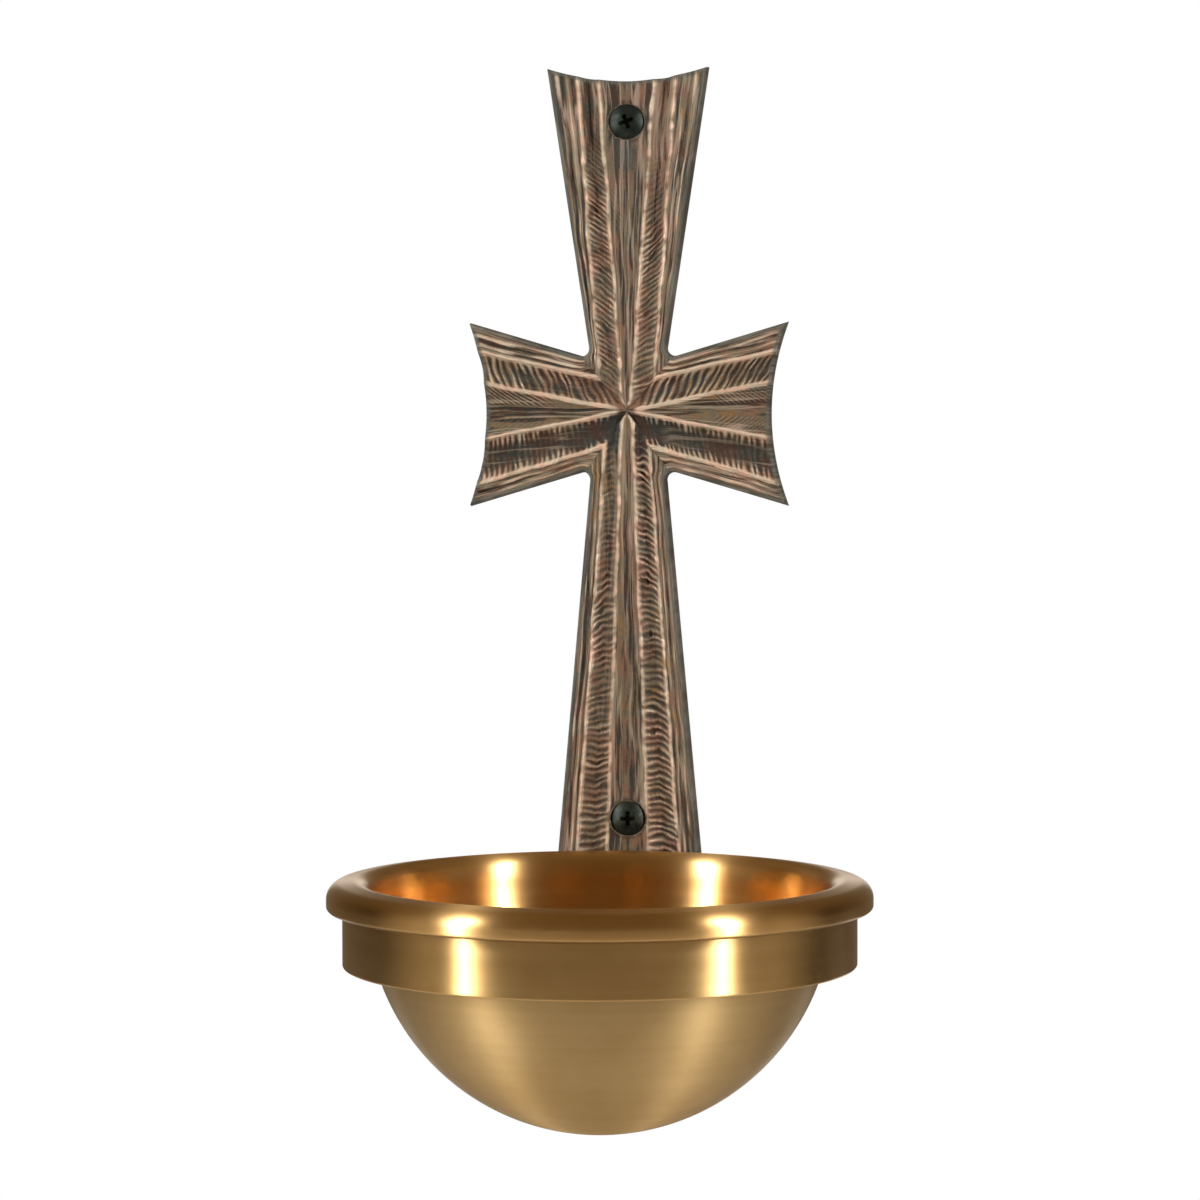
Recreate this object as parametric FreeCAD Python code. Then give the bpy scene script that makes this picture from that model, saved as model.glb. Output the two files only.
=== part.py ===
"""Holy water stoup: a cast bronze cross screwed to the wall, with a turned ring
fixed to its foot and a round bowl that lifts out of the ring.

Millimetres.  +Z is up, the wall is the plane y = 0 and the stoup stands out of
it towards -Y.  The origin is on the wall, midway between the two wall screws.
"""
import FreeCAD, Part
import math
import os

V = FreeCAD.Vector
UP = V(0, 0, 1)

# ---------------------------------------------------------------- cross plate
CROSS_THICKNESS = 8.0         # wall to the tops of the ridges
CROSS_DRAFT = 0.9             # how far the cast sides lean in over the thickness
UPPER_ARM = 95.2              # crossing to the upper tips
SIDE_ARM = 44.2               # crossing to the side tips
LOWER_ARM = 148.0             # crossing to the lower tips
UPPER_TIP_HALF_WIDTH = 22.3
SIDE_TIP_HALF_WIDTH = 25.4
LOWER_TIP_HALF_WIDTH = 22.2
UPRIGHT_SAG = 3.8             # hollow of the upper and the lower end
SIDE_SAG = 4.8                # hollow of each side end
NECK_HALF_WIDTH = 10.3        # half the upright, where it meets the side arms
NECK_HALF_HEIGHT = 15.3       # half a side arm, where it meets the upright
NECK_FILLET = 2.0

# carved relief: each arm has two border ridges and two ridges from the middle
RELIEF_RISE = 0.9             # where the ridges meet, above the crossing
UPPER_CORNER = (7.6, 8.9)     # where the border ridges of two arms meet,
LOWER_CORNER = (6.0, 9.6)     # measured from where the middle ridges meet
UPPER_BORDER_SPREAD = 13.6    # middle of the arm to the border ridges, at the tips
SIDE_BORDER_ABOVE = 16.8
SIDE_BORDER_BELOW = 20.7
LOWER_BORDER_SPREAD = 15.9
UPPER_RIDGE_SPREAD = 8.0      # half distance of the middle ridges, at the tips
SIDE_RIDGE_SPREAD = 8.8
LOWER_RIDGE_SPREAD = 6.7
CORNER_GROOVE_DEPTH = 1.3     # grooves, where two arms meet
GROOVE_DEPTH = 2.4            # grooves, at the tips
MIDDLE_HOLLOW_DEPTH = 1.5     # hollow between the middle ridges, at the tips
BORDER_SLOPE = 0.2            # fall of the border strips, outwards
RELIEF_OVERRUN = 6.0          # how far the cutters run past the tips

# ----------------------------------------------------------------- wall screws
UPPER_SCREW_INSET = 15.2      # upper wall screw below the upper tips
LOWER_SCREW_ABOVE_RIM = 14.8  # lower wall screw above the underside of the rim
WALL_SCREW_SHANK_R = 2.4      # plain shank, a No. 10 screw
WALL_SCREW_THREAD_R = 2.1     # mean radius of the thread
WALL_SCREW_HEAD_R = 4.75
WALL_SCREW_DOME = 1.5         # raised part of the oval head
WALL_SCREW_REACH = 24.0       # thread behind the wall face
WALL_SCREW_POINT = 5.0
WALL_HOLE_CLEARANCE = 0.3
HEAD_SINK = 1.0               # rim of the head below the tops of the ridges
RECESS_WIDTH = 1.2            # cross recess in the head
RECESS_SPAN = 5.2
RECESS_DEPTH = 2.0

# ------------------------------------------------------------------ bowl, ring
FOOT_BELOW_RING = 7.1         # lower tips of the cross below the ring
RIM_OVERHANG = 4.1            # rim, past the outside of the ring
RIM_HEIGHT = 7.3
RIM_SHOULDER = 4.2            # round of the rim's outer edge
CROWN_SLOPE = 8.0             # slope of the rim's top, in degrees
CREST_INSET = 7.2             # rim's highest line, in from its outer edge
RIM_LOWER_CHAMFER = 0.9
LIP_ROUND = 4.0               # round of the rim down into the bowl
BOWL_RADIUS = 59.8            # outside of the round bottom
BOWL_WALL = 1.6
BOWL_CENTRE_RISE = 1.8        # centre of the round bottom above the rim's underside
BOWL_CLEARANCE = 0.6          # bowl to the bore of the ring
RING_WALL = 5.5
RING_HEIGHT = 14.6
RING_EDGE = 0.4               # broken edges of the ring
RIM_TO_CROSS = 5.0            # air between the rim and the ridges

# --------------------------------------------------------- saddle and its screws
SADDLE_WIDTH = 27.0
SADDLE_SHORTER = 1.0          # saddle is this much lower than the ring
PAD_MARGIN = 0.6              # flat pad on the cross, past the saddle
SADDLE_SCREW_SPREAD = 9.0     # half distance of the two screws
SADDLE_SCREW_R = 2.0          # M4
SADDLE_SCREW_HEAD_R = 3.9
SADDLE_SCREW_LENGTH = 14.0
RING_SCREW_R = 2.5            # M5
RING_SCREW_HEAD_R = 4.6
RING_SCREW_LENGTH = 12.0
THREAD_CLEARANCE = 0.1
TAP_OVERRUN = 0.8             # tapped holes are this much deeper than their screws
SADDLE_FIT = 0.1              # saddle to the outside of the ring
HOLE_CLEARANCE = 0.25
FLUSH_SINK = 0.3              # countersunk heads lie this far under the surface
SLOT_WIDTH = 1.0
SLOT_DEPTH = 1.1

# ------------------------------------------------------------- what follows
UPPER_SCREW_RISE = UPPER_ARM - UPPER_SCREW_INSET
RIM_DROP = LOWER_ARM - FOOT_BELOW_RING - RING_HEIGHT
LOWER_SCREW_DROP = RIM_DROP - LOWER_SCREW_ABOVE_RIM
SCREW_SPACING = UPPER_SCREW_RISE + LOWER_SCREW_DROP
UPPER_SCREW_Z = SCREW_SPACING / 2
LOWER_SCREW_Z = -SCREW_SPACING / 2
CROSSING_Z = UPPER_SCREW_Z - UPPER_SCREW_RISE
RIM_Z = CROSSING_Z - RIM_DROP
BOWL_INSIDE = BOWL_RADIUS - BOWL_WALL
RING_BORE = BOWL_RADIUS + BOWL_CLEARANCE
RING_RADIUS = RING_BORE + RING_WALL
RIM_RADIUS = RING_RADIUS + RIM_OVERHANG
BOWL_Y = -(CROSS_THICKNESS + RIM_TO_CROSS + RIM_RADIUS)
SADDLE_HEIGHT = RING_HEIGHT - SADDLE_SHORTER
SADDLE_Z = RIM_Z - RING_HEIGHT / 2
WALL_HEAD_Y = HEAD_SINK - CROSS_THICKNESS
RING_SCREW_HEAD_Y = BOWL_Y + RING_BORE + FLUSH_SINK


# ---------------------------------------------------------------- small tools
def wire_of(curves):
    """One wire from lines and arcs that follow each other."""
    return Part.Wire([curve.toShape() for curve in curves])


def solid_of(faces):
    """A solid from flat faces, each a list of corners."""
    flat = [Part.Face(Part.makePolygon(corners + corners[:1])) for corners in faces]
    solid = Part.makeSolid(Part.makeShell(flat))
    if solid.Volume < 0:
        solid.reverse()
    return solid


def turned(profile):
    """Turn a closed profile, drawn as (radius, height), about an upright axis."""
    return Part.Face(wire_of(profile)).revolve(V(0, 0, 0), UP, 360)


def at(radius, height):
    """A point of a turned profile."""
    return V(radius, 0, height)


def along_outline(points):
    """Straight lines from point to point, round to the first again."""
    return [Part.LineSegment(p, q) for p, q in zip(points, points[1:] + points[:1])]


def arc_about(centre, radius, start_deg, end_deg):
    """Arc of a turned profile, from its centre, its radius and two angles."""
    def point(degrees):
        angle = math.radians(degrees)
        return centre + V(radius * math.cos(angle), 0, radius * math.sin(angle))
    return Part.Arc(point(start_deg), point((start_deg + end_deg) / 2), point(end_deg))


def rounded_corner(before, corner, after, radius):
    """Start, middle and end of the arc that rounds a corner."""
    to_before = (before - corner).normalize()
    to_after = (after - corner).normalize()
    half = to_before.getAngle(to_after) / 2
    middle_way = (to_before + to_after).normalize()
    reach = radius / math.tan(half)
    inwards = radius / math.sin(half) - radius
    return corner + to_before * reach, corner + middle_way * inwards, corner + to_after * reach


def facing_front(shape, x, y, z):
    """Place a shape drawn upright so that its top points away from the wall."""
    shape.rotate(V(0, 0, 0), V(1, 0, 0), 90)
    shape.translate(V(x, y, z))
    return shape


def facing_back(shape, x, y, z):
    """Place a shape drawn upright so that its top points into the wall."""
    shape.rotate(V(0, 0, 0), V(1, 0, 0), -90)
    shape.translate(V(x, y, z))
    return shape


# ---------------------------------------------------------------- cross plate
class Arm:
    """One arm of the cross: its direction, its end and the spread of its ridges."""

    def __init__(self, along, length, tip_half_width, sag, border_spreads, ridge_spread):
        self.along = along
        self.across = V(-along.y, along.x, 0)
        self.length = length
        self.tip_half_width = tip_half_width
        self.sag = sag
        self.border_above, self.border_below = border_spreads
        self.ridge_spread = ridge_spread

    def point(self, distance, side, depth=0.0):
        """A point on the arm, depth under the tops of the ridges."""
        flat = self.along * distance + self.across * side
        return flat + V(0, RELIEF_RISE, CROSS_THICKNESS - depth)

    def border_spread(self, side):
        """Middle of the arm to the border ridge of one side, at the tip."""
        return self.border_below if side * self.across.y < 0 else self.border_above

    def corner(self, side):
        """Where this arm's border ridge meets the next arm's: along and across."""
        above = (self.along + self.across * side).y > 0
        x, y = UPPER_CORNER if above else LOWER_CORNER
        return (x, y) if self.along.x else (y, x)


SIDE_BORDERS = (SIDE_BORDER_ABOVE, SIDE_BORDER_BELOW)
UPPER_BORDERS = (UPPER_BORDER_SPREAD, UPPER_BORDER_SPREAD)
LOWER_BORDERS = (LOWER_BORDER_SPREAD, LOWER_BORDER_SPREAD)
RIGHT = Arm(V(1, 0, 0), SIDE_ARM, SIDE_TIP_HALF_WIDTH, SIDE_SAG,
            SIDE_BORDERS, SIDE_RIDGE_SPREAD)
UPPER = Arm(V(0, 1, 0), UPPER_ARM, UPPER_TIP_HALF_WIDTH, UPRIGHT_SAG,
            UPPER_BORDERS, UPPER_RIDGE_SPREAD)
LEFT = Arm(V(-1, 0, 0), SIDE_ARM, SIDE_TIP_HALF_WIDTH, SIDE_SAG,
           SIDE_BORDERS, SIDE_RIDGE_SPREAD)
LOWER = Arm(V(0, -1, 0), LOWER_ARM, LOWER_TIP_HALF_WIDTH, UPRIGHT_SAG,
            LOWER_BORDERS, LOWER_RIDGE_SPREAD)
ARMS = [RIGHT, UPPER, LEFT, LOWER]


def cross_outline(inset, height):
    """Outline of the cross, moved in by inset and lying at height."""
    neck_x = NECK_HALF_WIDTH - inset
    neck_y = NECK_HALF_HEIGHT - inset
    necks = [V(neck_x, neck_y, 0), V(-neck_x, neck_y, 0),
             V(-neck_x, -neck_y, 0), V(neck_x, -neck_y, 0)]
    ends = []
    for arm in ARMS:
        end = arm.along * (arm.length - inset)
        side = arm.across * (arm.tip_half_width - inset)
        ends.append((end - side, end - arm.along * arm.sag, end + side))
    corners = []
    for i, neck in enumerate(necks):
        next_end = ends[(i + 1) % len(ends)]
        corners.append(rounded_corner(ends[i][2], neck, next_end[0], NECK_FILLET + inset))
    curves = []
    for end, corner_before, corner in zip(ends, corners[-1:] + corners[:-1], corners):
        curves.append(Part.LineSegment(corner_before[2], end[0]))
        curves.append(Part.Arc(*end))
        curves.append(Part.LineSegment(end[2], corner[0]))
        curves.append(Part.Arc(*corner))
    wire = wire_of(curves)
    wire.translate(V(0, 0, height))
    return wire


def ridge_points(arm, side):
    """Where the two ridges of one side of an arm start and where they run out."""
    far = arm.length + RELIEF_OVERRUN
    near, near_side = arm.corner(side)
    widening = (arm.border_spread(side) - near_side) / (arm.length - near)
    spread = near_side + widening * (far - near)
    corner = arm.point(near, side * near_side)
    border_end = arm.point(far, side * spread)
    ridge_end = arm.point(far, side * arm.ridge_spread * far / arm.length)
    return corner, border_end, ridge_end


def groove_cutter(arm, side):
    """The carved groove between a border ridge and a middle ridge."""
    apex = arm.point(0, 0)
    corner, border_end, ridge_end = ridge_points(arm, side)
    bottom = (apex + corner) / 2 - UP * CORNER_GROOVE_DEPTH
    bottom_end = (border_end + ridge_end) / 2 - UP * GROOVE_DEPTH
    return solid_of([
        [apex, corner, border_end, ridge_end],
        [apex, corner, bottom],
        [corner, border_end, bottom_end],
        [corner, bottom_end, bottom],
        [apex, bottom, bottom_end],
        [apex, bottom_end, ridge_end],
        [border_end, ridge_end, bottom_end],
    ])


def hollow_cutter(arm):
    """The shallow hollow between the two middle ridges of an arm."""
    apex = arm.point(0, 0)
    left, right = ridge_points(arm, 1)[2], ridge_points(arm, -1)[2]
    bottom = (left + right) / 2 - UP * MIDDLE_HOLLOW_DEPTH
    return solid_of([[apex, left, right], [apex, left, bottom],
                     [apex, bottom, right], [left, right, bottom]])


def border_cutter(arm, next_arm):
    """What is cut off above the border strips on both sides of one inner corner."""
    corner, border_end, _ = ridge_points(arm, 1)
    _, next_end, _ = ridge_points(next_arm, -1)
    along = (border_end - corner).normalize()
    next_along = (next_end - corner).normalize()
    reach = 2 * max(arm.length, next_arm.length)
    mitre_end = corner + (along + next_along).normalize() * reach
    fall = BORDER_SLOPE * reach * math.sin(along.getAngle(next_along) / 2)
    mitre_low = mitre_end - UP * fall
    return solid_of([
        [corner, border_end, mitre_end, next_end],
        [corner, border_end, mitre_low],
        [corner, mitre_low, next_end],
        [border_end, mitre_end, mitre_low],
        [next_end, mitre_end, mitre_low],
    ])


def relief_cutters():
    cutters = []
    for i, arm in enumerate(ARMS):
        cutters.append(hollow_cutter(arm))
        cutters.append(groove_cutter(arm, 1))
        cutters.append(groove_cutter(arm, -1))
        cutters.append(border_cutter(arm, ARMS[(i + 1) % len(ARMS)]))
    return cutters


def saddle_pad():
    """Flat pad at the foot of the cross, where the saddle is bolted on."""
    half_width = SADDLE_WIDTH / 2 + PAD_MARGIN
    half_height = SADDLE_HEIGHT / 2 + PAD_MARGIN
    root = CROSS_THICKNESS / 2
    pad = Part.makeBox(2 * half_width, 2 * half_height, CROSS_THICKNESS - root)
    pad.translate(V(-half_width, SADDLE_Z - CROSSING_Z - half_height, root))
    return pad


def cross_plate():
    blank = Part.makeLoft([cross_outline(0, 0), cross_outline(CROSS_DRAFT, CROSS_THICKNESS)],
                          True, True)
    carved = blank.cut(relief_cutters()).fuse(saddle_pad()).removeSplitter()
    plate = facing_front(carved, 0, 0, CROSSING_Z)
    for z in (UPPER_SCREW_Z, LOWER_SCREW_Z):
        hole = countersink_cutter(WALL_SCREW_SHANK_R, WALL_SCREW_HEAD_R, WALL_HOLE_CLEARANCE)
        plate = plate.cut(facing_front(hole, 0, WALL_HEAD_Y, z))
    for x in (-SADDLE_SCREW_SPREAD, SADDLE_SCREW_SPREAD):
        hole = countersink_cutter(SADDLE_SCREW_R, SADDLE_SCREW_HEAD_R, HOLE_CLEARANCE)
        plate = plate.cut(facing_back(hole, x, -FLUSH_SINK, SADDLE_Z))
    return plate


# --------------------------------------------------------------------- screws
def countersink_cutter(shank_r, head_r, clearance):
    """Hole for a countersunk screw whose head's rim lies at height 0."""
    hole_r = shank_r + clearance
    mouth_r = head_r + clearance
    long_way = 2 * CROSS_THICKNESS
    return turned(along_outline([
        at(0, long_way), at(mouth_r, long_way), at(mouth_r, 0),
        at(hole_r, hole_r - mouth_r), at(hole_r, -long_way), at(0, -long_way)]))


def machine_screw(shank_r, head_r, length):
    """Countersunk machine screw with a slot, its flat head at height 0."""
    chamfer = shank_r / 4
    screw = turned(along_outline([
        at(0, 0), at(head_r, 0), at(shank_r, shank_r - head_r),
        at(shank_r, chamfer - length), at(shank_r - chamfer, -length), at(0, -length)]))
    slot = Part.makeBox(2 * head_r, SLOT_WIDTH, SLOT_DEPTH)
    slot.translate(V(-head_r, -SLOT_WIDTH / 2, -SLOT_DEPTH))
    return screw.cut(slot)


def wall_screw():
    """Oval-head wood screw with a cross recess, the rim of its head at height 0."""
    wall = WALL_HEAD_Y
    neck = WALL_SCREW_SHANK_R - WALL_SCREW_HEAD_R
    end = wall - WALL_SCREW_REACH
    dome_r = (WALL_SCREW_HEAD_R ** 2 + WALL_SCREW_DOME ** 2) / (2 * WALL_SCREW_DOME)
    half_side = math.sin(math.asin(WALL_SCREW_HEAD_R / dome_r) / 2) * dome_r
    half_rise = math.sqrt(dome_r ** 2 - half_side ** 2) - (dome_r - WALL_SCREW_DOME)
    dome = Part.Arc(at(0, WALL_SCREW_DOME), at(half_side, half_rise), at(WALL_SCREW_HEAD_R, 0))
    rest = [at(WALL_SCREW_HEAD_R, 0), at(WALL_SCREW_SHANK_R, neck),
            at(WALL_SCREW_SHANK_R, wall), at(WALL_SCREW_THREAD_R, wall),
            at(WALL_SCREW_THREAD_R, end + WALL_SCREW_POINT), at(0, end),
            at(0, WALL_SCREW_DOME)]
    lines = [Part.LineSegment(p, q) for p, q in zip(rest, rest[1:])]
    screw = turned([dome] + lines)
    for turn in (0, 90):
        slot = Part.makeBox(RECESS_SPAN, RECESS_WIDTH, RECESS_DEPTH)
        slot.translate(V(-RECESS_SPAN / 2, -RECESS_WIDTH / 2, WALL_SCREW_DOME - RECESS_DEPTH))
        slot.rotate(V(0, 0, 0), UP, turn)
        screw = screw.cut(slot)
    return screw


def saddle_screws():
    """The two screws that hold the saddle, put in from the back of the cross."""
    pair = []
    for x in (-SADDLE_SCREW_SPREAD, SADDLE_SCREW_SPREAD):
        screw = machine_screw(SADDLE_SCREW_R, SADDLE_SCREW_HEAD_R, SADDLE_SCREW_LENGTH)
        pair.append(facing_back(screw, x, -FLUSH_SINK, SADDLE_Z))
    return Part.makeCompound(pair)


def ring_screw():
    """The screw that holds the ring to the saddle, put in from inside the ring."""
    screw = machine_screw(RING_SCREW_R, RING_SCREW_HEAD_R, RING_SCREW_LENGTH)
    return facing_front(screw, 0, RING_SCREW_HEAD_Y, SADDLE_Z)


# ------------------------------------------------------------- saddle and ring
def saddle():
    """Block between the cross and the ring, hollowed to fit the ring."""
    depth = -CROSS_THICKNESS - BOWL_Y
    block = Part.makeBox(SADDLE_WIDTH, depth, SADDLE_HEIGHT)
    block.translate(V(-SADDLE_WIDTH / 2, BOWL_Y, SADDLE_Z - SADDLE_HEIGHT / 2))
    block = block.cut(ring_space(RING_RADIUS + SADDLE_FIT))
    tap_r = SADDLE_SCREW_R + THREAD_CLEARANCE
    for x in (-SADDLE_SCREW_SPREAD, SADDLE_SCREW_SPREAD):
        tapped = Part.makeCylinder(tap_r, SADDLE_SCREW_LENGTH + TAP_OVERRUN,
                                   V(x, 0, SADDLE_Z), V(0, -1, 0))
        block = block.cut(tapped)
    tap_end = RING_SCREW_HEAD_Y + RING_SCREW_LENGTH + TAP_OVERRUN
    tapped = Part.makeCylinder(RING_SCREW_R + THREAD_CLEARANCE, RING_SCREW_LENGTH,
                               V(0, tap_end, SADDLE_Z), V(0, -1, 0))
    return block.cut(tapped)


def ring_space(radius):
    """Upright cylinder about the bowl's axis, taller than the saddle."""
    return Part.makeCylinder(radius, 2 * RING_HEIGHT, V(0, BOWL_Y, RIM_Z - 1.5 * RING_HEIGHT))


def bowl_ring():
    ring = turned(along_outline([
        at(RING_BORE + RING_EDGE, 0), at(RING_RADIUS - RING_EDGE, 0),
        at(RING_RADIUS, -RING_EDGE), at(RING_RADIUS, RING_EDGE - RING_HEIGHT),
        at(RING_RADIUS - RING_EDGE, -RING_HEIGHT), at(RING_BORE + RING_EDGE, -RING_HEIGHT),
        at(RING_BORE, RING_EDGE - RING_HEIGHT), at(RING_BORE, -RING_EDGE)]))
    ring.translate(V(0, BOWL_Y, RIM_Z))
    hole = countersink_cutter(RING_SCREW_R, RING_SCREW_HEAD_R, HOLE_CLEARANCE)
    return ring.cut(facing_front(hole, 0, RING_SCREW_HEAD_Y, SADDLE_Z))


# ----------------------------------------------------------------------- bowl
def bowl():
    """Round-bottomed bowl whose heavy rim rests on the ring."""
    centre = at(0, BOWL_CENTRE_RISE)
    rim_meets = math.degrees(math.asin(-BOWL_CENTRE_RISE / BOWL_RADIUS))
    outside = arc_about(centre, BOWL_RADIUS, -90, rim_meets)
    inside = arc_about(centre, BOWL_INSIDE, 0, -90)
    lip_centre = at(RIM_RADIUS - CREST_INSET, RIM_HEIGHT - LIP_ROUND)
    slope = math.radians(CROWN_SLOPE)
    apart = CREST_INSET - RIM_SHOULDER
    lower = (RIM_SHOULDER - LIP_ROUND + apart * math.sin(slope)) / math.cos(slope)
    shoulder_centre = lip_centre + at(apart, -lower)
    shoulder = arc_about(shoulder_centre, RIM_SHOULDER, 0, 90 - CROWN_SLOPE)
    wall_top = at(BOWL_INSIDE, BOWL_CENTRE_RISE)
    to_wall = wall_top - lip_centre
    lip_end = 2 * math.pi + math.atan2(to_wall.z, to_wall.x)
    lip_end -= math.acos(LIP_ROUND / to_wall.Length)
    lip = arc_about(lip_centre, LIP_ROUND, 90 - CROWN_SLOPE, math.degrees(lip_end))
    crown = Part.LineSegment(shoulder.EndPoint, lip.StartPoint)
    mouth = Part.LineSegment(lip.EndPoint, wall_top)
    chamfer_start = at(RIM_RADIUS - RIM_LOWER_CHAMFER, 0)
    chamfer_end = at(RIM_RADIUS, RIM_LOWER_CHAMFER)
    underside = Part.LineSegment(outside.toShape().lastVertex().Point, chamfer_start)
    chamfer = Part.LineSegment(chamfer_start, chamfer_end)
    side = Part.LineSegment(chamfer_end, at(RIM_RADIUS, shoulder_centre.z))
    middle = Part.LineSegment(at(0, BOWL_CENTRE_RISE - BOWL_INSIDE),
                              at(0, BOWL_CENTRE_RISE - BOWL_RADIUS))
    dish = turned([outside, underside, chamfer, side, shoulder, crown, lip, mouth,
                   inside, middle])
    dish.translate(V(0, BOWL_Y, RIM_Z))
    return dish


# --------------------------------------------------------------------- output
NODES = {
    "cross_plate": cross_plate,
    "upper_wall_screw": lambda: facing_front(wall_screw(), 0, WALL_HEAD_Y, UPPER_SCREW_Z),
    "lower_wall_screw": lambda: facing_front(wall_screw(), 0, WALL_HEAD_Y, LOWER_SCREW_Z),
    "saddle": saddle,
    "saddle_screws": saddle_screws,
    "ring_screw": ring_screw,
    "bowl_ring": bowl_ring,
    "bowl": bowl,
}

os.makedirs("parts", exist_ok=True)
for name, make in NODES.items():
    shape = make()
    shape.exportStep("parts/" + name + ".step")
    print(name, len(shape.Solids), "solid(s),", round(shape.Volume), "mm3,", shape.isValid())
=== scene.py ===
"""Holy water stoup: looks.

The carved cross is cut finely from its own outline and chased with the graver's
strokes.  The bowl, its ring and the wall screws are turned.  The saddle and its
screws keep the shapes of the frame.  Lengths are in metres, apart from those of the
carving, which are in millimetres until they are multiplied by MM.
"""
import math

import bmesh
import bpy
from mathutils import Matrix, Vector, noise


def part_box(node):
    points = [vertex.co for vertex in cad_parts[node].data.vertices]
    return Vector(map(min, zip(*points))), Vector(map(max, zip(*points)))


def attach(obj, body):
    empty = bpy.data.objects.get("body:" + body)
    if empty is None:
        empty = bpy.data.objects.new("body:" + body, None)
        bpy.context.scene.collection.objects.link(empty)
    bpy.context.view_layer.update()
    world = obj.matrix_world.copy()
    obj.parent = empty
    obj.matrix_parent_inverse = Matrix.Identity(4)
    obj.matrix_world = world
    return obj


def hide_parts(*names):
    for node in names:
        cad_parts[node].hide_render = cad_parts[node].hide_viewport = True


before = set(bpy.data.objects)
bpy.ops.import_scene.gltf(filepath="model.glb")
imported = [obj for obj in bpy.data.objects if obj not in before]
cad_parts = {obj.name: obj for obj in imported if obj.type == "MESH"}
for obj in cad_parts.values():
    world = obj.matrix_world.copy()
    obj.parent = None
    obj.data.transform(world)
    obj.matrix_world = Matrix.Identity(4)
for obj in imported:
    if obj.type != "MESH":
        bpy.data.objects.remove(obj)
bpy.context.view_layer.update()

MM = 0.001
UP = Vector((0, 0, 1))

# --------------------------------------------------------------- from the frame
cross_low, cross_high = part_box("cross_plate")
bowl_low, bowl_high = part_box("bowl")
ring_low, ring_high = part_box("bowl_ring")
CROSS_FRONT = cross_low.y
BOWL_AXIS = Vector((0, (bowl_low.y + bowl_high.y) / 2, 0))
RIM_RADIUS = (bowl_high.x - bowl_low.x) / 2
RING_RADIUS = (ring_high.x - ring_low.x) / 2
RIM_Z = ring_high.z
CREST_Z = bowl_high.z

# the relief of the casting, in millimetres
UPPER_ARM = 95.2
RELIEF_RISE = 0.9
APEX = Vector((0, CROSS_FRONT, cross_high.z + (RELIEF_RISE - UPPER_ARM) * MM))
UPPER_CORNER = (7.6, 8.9)
LOWER_CORNER = (6.0, 9.6)
NECK_FILLET = 2.0
FRONT_INSET = 0.72
CORNER_GROOVE = 1.3
GROOVE = 2.4
HOLLOW = 1.5
BORDER_SLOPE = 0.2

# holes of the screws, and the pad of the saddle
WALL_SCREW_SUNK = 1.0 * MM
WALL_SCREW_MOUTH = 5.05 * MM
WALL_SCREW_HOLE = 2.7 * MM
SADDLE_SCREW_HEAD = 3.9 * MM
SADDLE_SCREW_MOUTH = 4.15 * MM
SADDLE_SCREW_HOLE = 2.25 * MM
RING_SCREW_HEAD = 4.85 * MM
RING_SCREW_HOLE = 2.75 * MM
DRILL_ABOVE = 3 * MM
DRILL_BELOW = 12 * MM
RING_DRILL = 20 * MM
PAD_DEPTH = 4.0 * MM
PAD_MARGIN = 1.2 * MM
PAD_BEVEL = 0.4 * MM

# the turned pieces, and half the height of the dark band between rim and ring: tarnish and painted
# shade in the joint
BOWL_SPHERE = 59.8 * MM
BOWL_WALL = 1.6 * MM
RING_BORE = 60.4 * MM
JOINT_TARNISH_AND_SHADE = 0.8 * MM
BOWL_STEPS = 64
TURNED_STEPS = 192
SCREW_STEPS = 48


# ------------------------------------------------------------------ mesh tools
def smoothstep(low, high, value):
    t = min(1.0, max(0.0, (value - low) / (high - low)))
    return t * t * (3 - 2 * t)


def object_from(bm, name, body):
    """A finished piece from a bmesh, riding on a body."""
    mesh = bpy.data.meshes.new(name)
    bm.to_mesh(mesh)
    bm.free()
    piece = bpy.data.objects.new(name, mesh)
    bpy.context.scene.collection.objects.link(piece)
    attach(piece, body)
    return piece


def shade(piece, degrees):
    """Smooth shading, with edges sharper than the angle kept crisp."""
    piece.data.shade_smooth()
    piece.data.set_sharp_from_angle(angle=math.radians(degrees))


def lay(bm, place, way):
    """Lay an upright turned shape down: its top faces the room (1) or the wall (-1)."""
    matrix = Matrix.Rotation(way * math.pi / 2, 3, "X")
    bmesh.ops.rotate(bm, verts=bm.verts, cent=(0, 0, 0), matrix=matrix)
    bmesh.ops.translate(bm, verts=bm.verts, vec=place)
    bmesh.ops.recalc_face_normals(bm, faces=bm.faces)
    return bm


def cut(piece, tools):
    """Cut closed shapes, given as bmeshes, out of a piece."""
    mesh = bpy.data.meshes.new("cutter")
    whole_tool = bmesh.new()
    for tool in tools:
        tool.to_mesh(mesh)
        tool.free()
        whole_tool.from_mesh(mesh)
    whole_tool.to_mesh(mesh)
    whole_tool.free()
    cutter = bpy.data.objects.new("cutter", mesh)
    bpy.context.scene.collection.objects.link(cutter)
    boolean = piece.modifiers.new("cut", "BOOLEAN")
    boolean.object = cutter
    boolean.solver = "EXACT"
    bpy.context.view_layer.update()
    whole = piece.evaluated_get(bpy.context.evaluated_depsgraph_get())
    finished = bpy.data.meshes.new_from_object(whole)
    piece.modifiers.clear()
    piece.data = finished
    bpy.data.objects.remove(cutter)
    bpy.data.meshes.remove(mesh)


def arc(centre, radius, start, end, steps):
    """Points of an arc in a turned profile, as (radius, height)."""
    points = []
    for i in range(steps + 1):
        angle = math.radians(start + (end - start) * i / steps)
        points.append((centre[0] + radius * math.cos(angle), centre[1] + radius * math.sin(angle)))
    return points


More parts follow.
